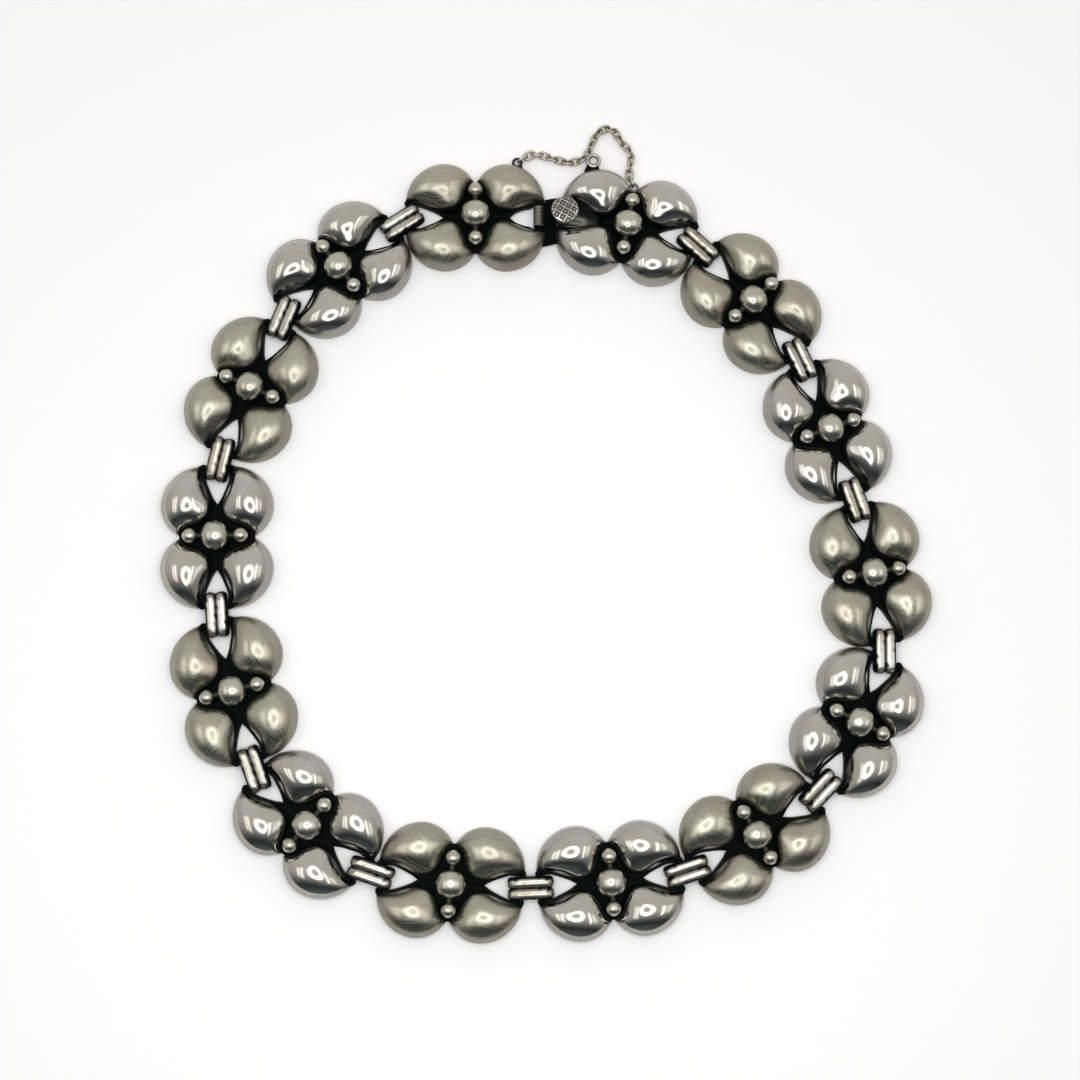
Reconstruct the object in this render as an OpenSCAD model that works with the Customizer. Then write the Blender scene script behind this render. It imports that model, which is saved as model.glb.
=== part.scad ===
// Silver link choker, lying face up and fastened in a ring on a flat surface.
// Fourteen links of four hollow domes and three beads are joined by flat double loops,
// a box clasp closes the ring, and a fine safety chain runs behind the clasp.
// A link is drawn with its length along X, its outer side on +Y and its back on the floor.

/* [Link] */
// Radius of the arc round the outside of a dome
lobe_r = 7.4; // [7.3:0.05:7.45]
// Height of a dome's top
dome_top = 4.6; // [4.2:0.1:5.0]
// Height of the upright edge at a dome's foot
dome_edge = 0.45; // [0.3:0.05:0.6]
// Radius of the hollow struck into the back of a dome
hollow_r = 3.4; // [3.0:0.1:3.5]
// Thickness of the pierced base plate
plate_t = 0.9; // [0.8:0.05:1.0]

/* [Beads] */
// Length of the middle bead along the link
bead_length = 5.2; // [4.9:0.1:5.3]
// Width of the middle bead across the link
bead_width = 4.76; // [4.5:0.02:4.9]
// Height of the beads' centres
bead_z = 3.2; // [3.1:0.1:3.3]
// Radius of a small bead
small_bead_r = 1.42; // [1.3:0.02:1.46]
// Distance of a small bead's centre from the middle of the link
small_bead_y = 4.5; // [4.4:0.05:4.6]

/* [Joining loops] */
// Overall length of a connecting loop
loop_length = 7.95; // [7.9:0.05:8.0]
// Width of one of its two ridges
ridge_width = 2.0; // [1.9:0.02:2.02]
// Thickness of the strip at the top of a ridge
strip_t = 0.6; // [0.5:0.02:0.62]
// Radius of the wire bar across the end of a link
bar_r = 0.45; // [0.4:0.01:0.46]

/* [Clasp] */
// Diameter of the round thumb piece
thumb_d = 5.0; // [4.6:0.1:5.2]
// Thickness of the round thumb piece
thumb_t = 0.9; // [0.8:0.05:1.0]
// Angle by which the thumb leaf springs up from the tongue
leaf_rise = 7.5; // [6.5:0.5:7.5]

/* [Safety chain] */
// Radius of its wire
chain_wire_r = 0.17; // [0.15:0.01:0.18]
// Length of chain that each of its links takes up
chain_pitch = 1.5; // [1.46:0.01:1.52]

/* [Hidden] */
$fn = 40;

polished = "Silver";
satin = "DarkGray";
oxidised = "DimGray";

// Where the links lie, clockwise round the ring: x and y of the middle, and the
// heading of the length, seen from above.
link_places = [
    [16.0, 58.0, -10.5],
    [38.8, 43.9, -48],
    [52.4, 20.2, -70],
    [59.7, -6.0, -80],
    [56.5, -32.6, -116.5],
    [37.9, -52.2, -150],
    [12.3, -60.3, -175],
    [-15.6, -60.5, -185],
    [-40.6, -50.4, -220.5],
    [-54.1, -27.2, -255],
    [-57.7, 0.2, -269],
    [-52.2, 27.1, -294],
    [-36.7, 49.5, -321.5],
    [-11.9, 59.6, -359.5]
];
// Shift that puts the origin under the middle of the whole piece
ring_shift = [-1.4, -3.3];

// Arc round the outside of a dome, and the tighter one that leads it into the waist
lobe_centre = [5.4, 2.6];
shoulder_centre = [5.66, 3.9];
shoulder_r = 6.1;
dome_centre = [5.6, 5.2];
hollow_centre = [6.2, 5.65, 0.2];
tail_angle = 5;
crown_angle = 88;
waist_angle = 150.5;
// Corners of the base plate in one quarter, all under the domes but for the waist and the end
plate_corners = [[0, 6.75], [2.5, 6.75], [6.5, 3.4], [11.8, 4.4], [12.2, 3.4], [12.2, 0]];
// Edge of the triangular hole in one quarter, from its point to the open end of the plate
hole_edge = [[6.05, 0], [8, 0.9], [9.3, 1.5], [10.3, 2.3], [11.2, 2.5], [12.0, 3.05], [13, 3.1]];

// The end bar is bent towards the middle of the link, so that a loop can swing on it
bar_z = 1.35;
bar_reach = 11.5;
bar_bend_r = 3.0;
bar_half_angle = 50;
straight_bar_x = 11.6;
tail_hold = [12.15, 3.6];

loop_outer_r = 1.25;
loop_z = bar_z;
strip_edge_t = 0.25;

function mix(a, b, t) = a + (b - a) * t;
function on_arc(c, r, a) = [c[0] + r * cos(a), c[1] + r * sin(a)];
function bezier(p, t) =
    let (u = 1 - t)
    u * u * u * p[0] + 3 * u * u * t * p[1] + 3 * u * t * t * p[2] + t * t * t * p[3];
function dir(a) = [cos(a), sin(a)];
function xy(p) = [p[0], p[1]];
function middle(i) = xy(link_places[i - 1]);
function heading(i) = link_places[i - 1][2];

// Outline of one comma-shaped dome, from the tip of its tail, counter-clockwise
tail_tip = on_arc(lobe_centre, lobe_r, tail_angle);
waist_corner = on_arc(shoulder_centre, shoulder_r, waist_angle);
inner_low = [5.0, 1.4];
dome_outline = concat(
    [for (k = [0:7]) on_arc(lobe_centre, lobe_r, mix(tail_angle, crown_angle, k / 8))],
    [for (k = [0:4]) on_arc(shoulder_centre, shoulder_r, mix(crown_angle, waist_angle, k / 4))],
    [for (k = [1:5]) bezier([waist_corner, [1.9, 5.6], [1.9, 1.4], inner_low], k / 5)],
    [for (k = [1:5]) bezier([inner_low, [7.0, 1.45], [8.3, 3.5], tail_tip], k / 6)]
);
// How far each ring of the dome's skin lies from the middle, as a share of the outline
dome_rings = [1, 0.92, 0.7, 0.38];

function dome_height(s) = dome_edge + (dome_top - dome_edge) * sqrt(1 - s * s);
function ring_points(s, z) = [for (p = dome_outline)
    let (q = mix(dome_centre, p, s)) [q[0], q[1], z]];

// A closed skin over rings of equal count, given from the floor up, with a point on top
module stacked_rings(rings, top) {
    n = len(rings[0]);
    m = len(rings);
    points = concat([for (r = rings) each r], [top]);
    floor_face = [[for (k = [0:n - 1]) k]];
    sides = [for (j = [0:m - 2], k = [0:n - 1], half = [0, 1])
        let (a = j * n + k, b = j * n + (k + 1) % n)
        half == 0 ? [a, a + n, b] : [b, a + n, b + n]];
    cap = [for (k = [0:n - 1]) [(m - 1) * n + k, m * n, (m - 1) * n + (k + 1) % n]];
    polyhedron(points, concat(floor_face, sides, cap), convexity = 4);
}

module dome() {
    stacked_rings(
        concat([ring_points(1, 0)], [for (s = dome_rings) ring_points(s, dome_height(s))]),
        [dome_centre[0], dome_centre[1], dome_top]
    );
}

// The four quarters of a link
module quarters() {
    for (i = [0, 1], j = [0, 1])
        mirror([i, 0, 0]) mirror([0, j, 0]) children();
}

function mirrored_round(p) = concat(
    p,
    [for (k = [len(p) - 1:-1:0]) [p[k][0], -p[k][1]]],
    [for (q = p) [-q[0], -q[1]]],
    [for (k = [len(p) - 1:-1:0]) [-p[k][0], p[k][1]]]
);

module base_plate() {
    translate([0, 0, 0.05])
        linear_extrude(plate_t)
            polygon([for (q = mirrored_round(plate_corners)) q]);
}

// Triangular hole that runs out through the plate's end
module end_hole() {
    translate([0, 0, -1])
        linear_extrude(3)
            polygon(concat(hole_edge, [for (k = [len(hole_edge) - 1:-1:1]) [hole_edge[k][0], -hole_edge[k][1]]]));
}

module wire(from, to, r) {
    v = to - from;
    translate(from)
        rotate([0, acos(v[2] / norm(v)), atan2(v[1], v[0])])
            cylinder(h = norm(v), r = r);
}

// End bar bent inwards, its ends let into the two tails
module bent_bar() {
    bend_centre = [bar_reach + bar_bend_r, 0, bar_z];
    end = bend_centre + bar_bend_r * [-cos(bar_half_angle), sin(bar_half_angle), 0];
    translate(bend_centre)
        rotate([0, 0, 180 - bar_half_angle])
            rotate_extrude(angle = 2 * bar_half_angle)
                translate([bar_bend_r, 0])
                    circle(bar_r);
    for (side = [1, -1])
        wire([end[0], side * end[1], bar_z], [tail_hold[0], side * tail_hold[1], bar_z], bar_r);
    for (side = [1, -1])
        translate([end[0], side * end[1], bar_z])
            sphere(bar_r);
}

module straight_bar() {
    wire([straight_bar_x, -tail_hold[1], bar_z], [straight_bar_x, tail_hold[1], bar_z], bar_r);
}

// Large oval bead between two small ones, on one rod
module beads() {
    translate([0, 0, bead_z])
        scale([bead_length / 2, bead_width / 2, 2.4])
            sphere(1);
    for (side = [1, -1]) {
        translate([0, side * small_bead_y, bead_z])
            sphere(small_bead_r);
        translate([0, side * small_bead_y, 0.4])
            cylinder(h = bead_z - 0.4, r = 0.8);
    }
    wire([0, -small_bead_y, bead_z], [0, small_bead_y, bead_z], 0.5);
}

// One link: the ends are given as "bent", "straight" or "box"
module link(left, right) {
    difference() {
        union() {
            base_plate();
            quarters()
                dome();
            beads();
        }
        quarters()
            translate(hollow_centre)
                sphere(hollow_r);
        if (left != "box")
            mirror([1, 0, 0])
                end_hole();
        end_hole();
    }
    if (left == "bent")
        mirror([1, 0, 0])
            bent_bar();
    if (right == "bent")
        bent_bar();
    if (right == "straight")
        straight_bar();
}

module at_link(i) {
    translate([ring_shift[0] + middle(i)[0], ring_shift[1] + middle(i)[1], 0])
        rotate([0, 0, heading(i)])
            children();
}

// Clasp box under the left end of the first link, its mouth at the link's end
box_mouth = -12.7;
box_end = -7.4;
box_bottom = 0.12;
box_top = 2.7;
box_half_width = 1.7;
box_floor = 0.55;
box_ceiling = 2.2;
box_crown_r = 8;
box_corners = [[box_mouth, 2.5], [-8.5, 2.4], [-6.4, 1.5]];

module clasp_box() {
    intersection() {
        translate([0, 0, box_bottom])
            linear_extrude(box_top - box_bottom)
                polygon(concat(box_corners, [for (k = [2:-1:0]) [box_corners[k][0], -box_corners[k][1]]]));
        translate([-20, 0, box_top - box_crown_r])
            rotate([0, 90, 0])
                cylinder(h = 20, r = box_crown_r);
    }
}

module clasp_cavity() {
    translate([box_mouth - 1, -box_half_width, box_floor])
        cube([box_end - box_mouth + 1, 2 * box_half_width, box_ceiling - box_floor]);
    translate([box_mouth - 1, -0.75, box_floor])
        cube([2.5, 1.5, 4]);
}

// Wire eye for an end of the safety chain, on a short neck that points to -Y
eye_r = 0.72;
eye_wire_r = 0.21;
eye_z = 0.85;

module chain_eye(at, neck_width, neck_length) {
    translate([at[0], at[1], eye_z])
        rotate_extrude()
            translate([eye_r, 0])
                circle(eye_wire_r);
    translate([at[0] - neck_width / 2, at[1] - eye_r - neck_length, eye_z - eye_wire_r])
        cube([neck_width, neck_length, 2 * eye_wire_r]);
}

waist_eye = [-0.1, 7.75];
edge_eye = [7.76, 10.45];
ring_eye = [-8.35, 11.0];
ring_eye_r = 1.38;
ring_eye_hole_r = 0.68;

// Bright flat ring on a broad neck, high enough for the chain to lie under its rim
module ring_eye_piece() {
    difference() {
        union() {
            translate([ring_eye[0], ring_eye[1], 1.45])
                cylinder(h = 0.65, r = ring_eye_r);
            translate([ring_eye[0] - 1.1, ring_eye[1] - 2.3, 1.4])
                cube([2.4, 1.6, 0.5]);
        }
        translate([ring_eye[0], ring_eye[1], 1])
            cylinder(h = 2, r = ring_eye_hole_r);
    }
}

module link_01() {
    color(polished)
        at_link(1) {
            difference() {
                union() {
                    link("box", "bent");
                    clasp_box();
                }
                clasp_cavity();
            }
            ring_eye_piece();
            chain_eye(waist_eye, 0.8, 0.9);
        }
}

module link_14() {
    color(satin)
        at_link(14) {
            link("bent", "straight");
            chain_eye(edge_eye, 1.8, 0.5);
        }
}

module plain_link(i) {
    color(i % 2 == 0 ? satin : polished)
        at_link(i)
            link("bent", "bent");
}

// Half-round section of one ridge, its flat side on X = 0
module ridge_section() {
    rise = strip_t - strip_edge_t;
    r = (ridge_width * ridge_width / 4 + rise * rise) / (2 * rise);
    intersection() {
        translate([strip_t - r, 0])
            circle(r, $fn = 90);
        translate([0, -ridge_width / 2])
            square([strip_t, ridge_width]);
    }
}

// Closed flat loop of two ridges side by side, its length along X
module double_loop() {
    half_straight = loop_length / 2 - loop_outer_r;
    inner_r = loop_outer_r - strip_t;
    for (side = [-1, 1])
        translate([0, side * (ridge_width / 2 - 0.02), 0])
            rotate([90, 0, 0]) {
                for (end = [0, 1])
                    rotate([0, 0, 180 * end])
                        translate([half_straight, 0, 0])
                            rotate([0, 0, -90])
                                rotate_extrude(angle = 180)
                                    translate([inner_r, 0])
                                        ridge_section();
                for (end = [0, 1])
                    rotate([0, 0, 180 * end])
                        translate([half_straight, inner_r, 0])
                            rotate([0, -90, 0])
                                linear_extrude(2 * half_straight)
                                    rotate([0, 0, 90])
                                        ridge_section();
            }
}

// A loop lies on the line from bar to bar and shares its slack between its two ends
module connector(i) {
    from = middle(i) + bar_reach * dir(heading(i));
    to = middle(i + 1) - bar_reach * dir(heading(i + 1));
    along = (to - from) / norm(to - from);
    drift = bar_bend_r / 2 * (along * dir(heading(i)) - along * dir(heading(i + 1)));
    place = (from + to) / 2 + drift * along;
    color(polished)
        translate([ring_shift[0] + place[0], ring_shift[1] + place[1], loop_z])
            rotate([0, 0, atan2(along[1], along[0])])
                double_loop();
}

// Tongue: a milled tube round the bar of the last link, and a leaf that lies in the box
tongue_half_width = 1.5;
tongue_z = 0.65;
tongue_t = 0.3;
tube_r = 0.95;
tube_bore_r = 0.57;
tube_length = 4.0;

module clasp_tongue() {
    color(oxidised) {
        at_link(14)
            translate([straight_bar_x, tube_length / 2, bar_z])
                rotate([90, 0, 0])
                    difference() {
                        cylinder(h = tube_length, r = tube_r);
                        translate([0, 0, -1])
                            cylinder(h = tube_length + 2, r = tube_bore_r);
                    }
        hull() {
            at_link(14)
                translate([straight_bar_x + 0.7, -tube_length / 2 + 0.2, tongue_z])
                    cube([0.15, tube_length - 0.4, 0.7]);
            at_link(1)
                translate([box_mouth - 0.6, -tongue_half_width, tongue_z])
                    cube([0.2, 2 * tongue_half_width, tongue_t]);
        }
        at_link(1)
            translate([box_mouth - 0.5, -tongue_half_width, tongue_z])
                cube([box_end - box_mouth + 0.4, 2 * tongue_half_width, tongue_t]);
    }
}

// Thumb leaf: it turns on the roll at its inner end, inside the box
leaf_hinge = [-7.9, 0, 1.35];
leaf_length = 4.6;
leaf_t = 0.34;
post_x = -4.25;
thumb_z = 1.8;

module cross_hatching() {
    for (k = [-2:2], turn = [0, 90])
        rotate([0, 0, turn + 25])
            translate([-thumb_d, k * 0.85 - 0.09, thumb_t - 0.15])
                cube([2 * thumb_d, 0.18, 1]);
}

module clasp_thumb() {
    color(polished)
        at_link(1)
            translate(leaf_hinge)
                rotate([0, leaf_rise, 0]) {
                    translate([0, tongue_half_width, 0])
                        rotate([90, 0, 0])
                            cylinder(h = 2 * tongue_half_width, r = 0.3);
                    translate([-leaf_length, -tongue_half_width, -leaf_t / 2])
                        cube([leaf_length, 2 * tongue_half_width, leaf_t]);
                    translate([post_x, 0, 0])
                        cylinder(h = thumb_z + 0.1, r = 0.55);
                    translate([post_x, 0, thumb_z])
                        difference() {
                            rotate_extrude()
                                polygon([[0, 0], [thumb_d / 2 - 0.15, 0], [thumb_d / 2, 0.15],
                                    [thumb_d / 2, thumb_t - 0.2], [thumb_d / 2 - 0.2, thumb_t], [0, thumb_t]]);
                            cross_hatching();
                        }
                }
}

// Safety chain: its links are strung along a route from one small eye to the other
function placed(i, p) = middle(i) + [
    p[0] * cos(heading(i)) - p[1] * sin(heading(i)),
    p[0] * sin(heading(i)) + p[1] * cos(heading(i))
];
chain_start = placed(14, edge_eye);
chain_finish = placed(1, waist_eye);
// Points that the chain passes, chosen by hand, between the two eyes
chain_turns = [
    [-2.6, 71.3], [-0.9, 72.0], [0.9, 71.5], [2.9, 70.9], [4.8, 70.4], [6.6, 70.4], [8.1, 71.1],
    [9.1, 72.6], [9.8, 74.6], [10.7, 76.2], [12.0, 77.1], [13.5, 76.9], [14.4, 75.8],
    [15.0, 74.4], [16.1, 73.4], [16.9, 72.4], [17.0, 71.2], [16.5, 69.5], [16.5, 67.7]
];
function unit(v) = v / norm(v);
// The outermost chain links reach this far past an eye's middle
eye_reach = eye_r - eye_wire_r - 0.03;
chain_route = concat(
    [chain_start + eye_reach * unit(chain_turns[0] - chain_start)],
    chain_turns,
    [chain_finish + eye_reach * unit(chain_turns[len(chain_turns) - 1] - chain_finish)]
);
function run_length(p, k) = k == 0 ? 0 : run_length(p, k - 1) + norm(p[k] - p[k - 1]);
chain_length = run_length(chain_route, len(chain_route) - 1);
chain_count = 2 * floor(chain_length / chain_pitch / 2) + 1;
function along_route(s, k = 1) =
    let (step = norm(chain_route[k] - chain_route[k - 1]))
    s <= step || k == len(chain_route) - 1
        ? mix(chain_route[k - 1], chain_route[k], s / step)
        : along_route(s - step, k + 1);
chain_step = chain_length / chain_count;
chain_bend_r = 0.62;
chain_clear = 0.18;

// Oval link of round wire, its length along X and standing on edge
module chain_link() {
    half_straight = (chain_pitch + 2 * chain_wire_r + chain_clear) / 2 - chain_bend_r;
    for (end = [0, 1])
        rotate([0, 180 * end, 0])
            translate([half_straight, 0, 0])
                rotate([90, 0, 0])
                    rotate([0, 0, -90])
                        rotate_extrude(angle = 180)
                            translate([chain_bend_r, 0])
                                circle(chain_wire_r, $fn = 16);
    for (side = [1, -1])
        translate([-half_straight, 0, side * chain_bend_r])
            rotate([0, 90, 0])
                cylinder(h = 2 * half_straight, r = chain_wire_r, $fn = 16);
}

module safety_chain() {
    color(polished)
        translate([ring_shift[0], ring_shift[1], 0])
            for (k = [0:chain_count - 1]) {
                a = along_route(k * chain_step);
                b = along_route((k + 1) * chain_step);
                from_end = min(k, chain_count - 1 - k);
                lean = (k % 2) * 90 + min(45, 15 * from_end);
                translate([(a[0] + b[0]) / 2, (a[1] + b[1]) / 2, max(0.64, eye_z - 0.05 * from_end)])
                    rotate([0, 0, atan2(b[1] - a[1], b[0] - a[0])])
                        rotate([lean, 0, 0])
                            chain_link();
            }
}

link_01();
plain_link(2);  // link_02
plain_link(3);  // link_03
plain_link(4);  // link_04
plain_link(5);  // link_05
plain_link(6);  // link_06
plain_link(7);  // link_07
plain_link(8);  // link_08
plain_link(9);  // link_09
plain_link(10);  // link_10
plain_link(11);  // link_11
plain_link(12);  // link_12
plain_link(13);  // link_13
link_14();
connector(1);  // connector_01
connector(2);  // connector_02
connector(3);  // connector_03
connector(4);  // connector_04
connector(5);  // connector_05
connector(6);  // connector_06
connector(7);  // connector_07
connector(8);  // connector_08
connector(9);  // connector_09
connector(10);  // connector_10
connector(11);  // connector_11
connector(12);  // connector_12
connector(13);  // connector_13
clasp_tongue();
clasp_thumb();
safety_chain();
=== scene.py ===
import bmesh
import bpy
import numpy as np
from mathutils import Matrix


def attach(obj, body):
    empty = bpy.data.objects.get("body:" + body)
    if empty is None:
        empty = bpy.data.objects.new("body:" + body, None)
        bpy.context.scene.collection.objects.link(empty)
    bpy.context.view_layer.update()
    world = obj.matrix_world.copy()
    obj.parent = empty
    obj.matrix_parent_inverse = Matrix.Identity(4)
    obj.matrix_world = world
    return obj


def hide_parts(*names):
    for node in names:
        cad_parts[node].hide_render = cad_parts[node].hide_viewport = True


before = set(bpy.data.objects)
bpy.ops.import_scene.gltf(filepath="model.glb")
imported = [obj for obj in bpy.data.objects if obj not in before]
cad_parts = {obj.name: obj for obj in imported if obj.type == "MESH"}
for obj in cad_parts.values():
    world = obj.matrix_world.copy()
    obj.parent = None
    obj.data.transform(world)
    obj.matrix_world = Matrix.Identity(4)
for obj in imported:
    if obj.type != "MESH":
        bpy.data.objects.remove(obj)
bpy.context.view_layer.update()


# Base plates. Each link stands on a sawn silver plate, 0.9 mm thick, its face blackened in
# the recesses, with a triangular hole let in from each end. The fourteen plates lie in a
# ring on the table, as the fastened choker does.
ring_shift = (-1.4, -3.3)
link_places = [
    (16.0, 58.0, -10.5), (38.8, 43.9, -48), (52.4, 20.2, -70), (59.7, -6.0, -80),
    (56.5, -32.6, -116.5), (37.9, -52.2, -150), (12.3, -60.3, -175), (-15.6, -60.5, -185),
    (-40.6, -50.4, -220.5), (-54.1, -27.2, -255), (-57.7, 0.2, -269), (-52.2, 27.1, -294),
    (-36.7, 49.5, -321.5), (-11.9, 59.6, -359.5),
]
link_names = ["link_%02d" % number for number in range(1, 15)]


def heading_vector(number):
    """Unit vector along a link's heading."""
    heading = np.radians(link_places[number - 1][2])
    return np.array([np.cos(heading), np.sin(heading)])


def set_along(points, way, place):
    """Points in millimetres turned about Z until X runs along the way, then moved to the place, in
    metres."""
    p = np.asarray(points, float)
    return 0.001 * np.stack([
        place[0] + way[0] * p[..., 0] - way[1] * p[..., 1],
        place[1] + way[1] * p[..., 0] + way[0] * p[..., 1],
        place[2] + p[..., 2]], -1)


def laid_at(points, number):
    """Points of one link's own frame, turned by its heading and moved to its place in the ring, in
    metres."""
    place = (*(np.array(link_places[number - 1][:2]) + ring_shift), 0)
    return set_along(points, heading_vector(number), place)


def squared(turn, across_power, up_power):
    """The cosine and the sine of a turn, each raised to its own power with its sign kept, which
    flattens the sides of a circle and leaves its corners round."""
    across, up = np.cos(turn), np.sin(turn)
    return np.sign(across) * np.abs(across) ** across_power, np.sign(up) * np.abs(up) ** up_power


def skin(name, grids, materials):
    """A mesh over grids of points: every four neighbouring points are joined by a face, doubled
    points are merged, and all faces are turned outwards. A grid is a dict of points (rows,
    columns, 3) in metres, "dark" from 0 to 1, a "stroke" map in millimetres and the number of its
    material."""
    corners, faces, dark, stroke, made_of = [], [], [], [], []
    start = 0
    for grid in grids:
        rows, columns = grid["points"].shape[:2]
        i, j = np.meshgrid(np.arange(rows - 1), np.arange(columns - 1), indexing="ij")
        a = start + i * columns + j
        faces.append(np.stack([a, a + columns, a + columns + 1, a + 1], -1).reshape(-1, 4))
        corners.append(grid["points"].reshape(-1, 3))
        dark.append(np.broadcast_to(grid.get("dark", 0.0), (rows, columns)).reshape(-1))
        stroke.append(grid.get("stroke", grid["points"][..., :2] * 1000).reshape(-1, 2))
        made_of.append(np.full(len(faces[-1]), grid.get("material", 0)))
        start += rows * columns
    corners, faces = np.concatenate(corners), np.concatenate(faces)
    mesh = bpy.data.meshes.new(name)
    mesh.vertices.add(len(corners))
    mesh.vertices.foreach_set("co", corners.astype(np.float32).reshape(-1))
    mesh.loops.add(faces.size)
    mesh.loops.foreach_set("vertex_index", faces.reshape(-1).astype(np.int32))
    mesh.polygons.add(len(faces))
    mesh.polygons.foreach_set("loop_start", np.arange(0, faces.size, 4, dtype=np.int32))
    mesh.polygons.foreach_set("material_index", np.concatenate(made_of).astype(np.int32))
    mesh.update(calc_edges=True)
    mesh.uv_layers.new(name="stroke").data.foreach_set(
        "uv", np.concatenate(stroke)[faces.reshape(-1)].astype(np.float32).reshape(-1))
    mesh.attributes.new("dark", "FLOAT", "POINT").data.foreach_set(
        "value", np.concatenate(dark).astype(np.float32))
    for material in materials:
        mesh.materials.append(material)
    work = bmesh.new()
    work.from_mesh(mesh)
    bmesh.ops.remove_doubles(work, verts=work.verts, dist=2e-6)
    bmesh.ops.dissolve_degenerate(work, edges=work.edges, dist=1e-7)
    bmesh.ops.recalc_face_normals(work, faces=work.faces)
    for face in work.faces:
        face.smooth = True
    work.to_mesh(mesh)
    work.free()
    piece = bpy.data.objects.new(name, mesh)
    bpy.context.scene.collection.objects.link(piece)
    return piece


def span(node, end, low, high):
    """Sets the lower and the upper bound of one end, From or To, of a range node."""
    node.inputs[end + " Min"].default_value = low
    node.inputs[end + " Max"].default_value = high


def tarnish_and_shade_group():
    """Silver that darkens where the mark is high, the mark carrying both patina and painted shade:
    the bare colour wanders a little between warm and cool, and gives way to the dark one where the
    mark, loosened by fine noise, is high."""
    group = bpy.data.node_groups.new("tarnish_and_shade", "ShaderNodeTree")
    for label, kind, value in (
            ("Bare", "NodeSocketColor", (0.8, 0.78, 0.74, 1)),
            ("Warm", "NodeSocketColor", (0.7, 0.62, 0.55, 1)),
            ("Film", "NodeSocketColor", (0.02, 0.022, 0.02, 1)),
            ("Mark", "NodeSocketFloat", 0.0),
            ("Warmth", "NodeSocketFloat", 0.4),
            ("Bare roughness", "NodeSocketFloat", 0.2),
            ("Film roughness", "NodeSocketFloat", 0.55)):
        socket = group.interface.new_socket(label, in_out="INPUT", socket_type=kind)
        socket.default_value = value
    for label, kind in (("Colour", "NodeSocketColor"), ("Roughness", "NodeSocketFloat")):
        group.interface.new_socket(label, in_out="OUTPUT", socket_type=kind)
    add, link = group.nodes.new, group.links.new
    source, drain = add("NodeGroupInput"), add("NodeGroupOutput")
    place = add("ShaderNodeTexCoord")
    patches, specks = add("ShaderNodeTexNoise"), add("ShaderNodeTexNoise")
    for noise, scale, detail in ((patches, 210, 3), (specks, 3500, 4)):
        noise.inputs["Scale"].default_value = scale
        noise.inputs["Detail"].default_value = detail
        link(place.outputs["Object"], noise.inputs["Vector"])
    lean = add("ShaderNodeMapRange")
    span(lean, "From", 0.38, 0.66)
    link(patches.outputs["Fac"], lean.inputs["Value"])
    warm = add("ShaderNodeMath")
    warm.operation = "MULTIPLY"
    link(lean.outputs["Result"], warm.inputs[0])
    link(source.outputs["Warmth"], warm.inputs[1])
    bare = add("ShaderNodeMix")
    bare.data_type = "RGBA"
    link(warm.outputs[0], bare.inputs["Factor"])
    link(source.outputs["Bare"], bare.inputs["A"])
    link(source.outputs["Warm"], bare.inputs["B"])
    loosened = add("ShaderNodeMath")
    loosened.operation = "MULTIPLY_ADD"
    loosened.inputs[1].default_value = 0.1
    link(specks.outputs["Fac"], loosened.inputs[0])
    link(source.outputs["Mark"], loosened.inputs[2])
    film = add("ShaderNodeMapRange")
    film.interpolation_type = "SMOOTHSTEP"
    span(film, "From", 0.12, 0.95)
    link(loosened.outputs[0], film.inputs["Value"])
    colour = add("ShaderNodeMix")
    colour.data_type = "RGBA"
    link(film.outputs["Result"], colour.inputs["Factor"])
    link(bare.outputs["Result"], colour.inputs["A"])
    link(source.outputs["Film"], colour.inputs["B"])
    rough = add("ShaderNodeMix")
    link(film.outputs["Result"], rough.inputs["Factor"])
    link(source.outputs["Bare roughness"], rough.inputs["A"])
    link(source.outputs["Film roughness"], rough.inputs["B"])
    link(colour.outputs["Result"], drain.inputs["Colour"])
    link(rough.outputs["Result"], drain.inputs["Roughness"])
    return group


def strokes_group():
    """Fine parallel strokes: noise on the stroke map, drawn out along its first direction, in two
    widths."""
    group = bpy.data.node_groups.new("strokes", "ShaderNodeTree")
    for label, value in (("Across", 7.0), ("Along", 0.35)):
        socket = group.interface.new_socket(label, in_out="INPUT", socket_type="NodeSocketFloat")
        socket.default_value = value
    group.interface.new_socket("Stroke", in_out="OUTPUT", socket_type="NodeSocketFloat")
    add, link = group.nodes.new, group.links.new
    source, drain = add("NodeGroupInput"), add("NodeGroupOutput")
    place, size = add("ShaderNodeUVMap"), add("ShaderNodeCombineXYZ")
    drawn = add("ShaderNodeVectorMath")
    place.uv_map = "stroke"
    drawn.operation = "MULTIPLY"
    link(source.outputs["Along"], size.inputs["X"])
    link(source.outputs["Across"], size.inputs["Y"])
    link(place.outputs["UV"], drawn.inputs[0])
    link(size.outputs[0], drawn.inputs[1])
    fine, broad, both = add("ShaderNodeTexNoise"), add("ShaderNodeTexNoise"), add("ShaderNodeMath")
    for noise, scale, detail in ((fine, 1.0, 3), (broad, 0.3, 2)):
        noise.inputs["Scale"].default_value = scale
        noise.inputs["Detail"].default_value = detail
        link(drawn.outputs[0], noise.inputs["Vector"])
    both.operation = "MULTIPLY_ADD"
    both.inputs[1].default_value = 0.5
    link(broad.outputs["Fac"], both.inputs[0])
    half = add("ShaderNodeMath")
    half.operation = "MULTIPLY"
    half.inputs[1].default_value = 0.5
    link(fine.outputs["Fac"], half.inputs[0])
    link(half.outputs[0], both.inputs[2])
    link(both.outputs[0], drain.inputs["Stroke"])
    return group


tarnish_and_shade, strokes = tarnish_and_shade_group(), strokes_group()


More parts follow.
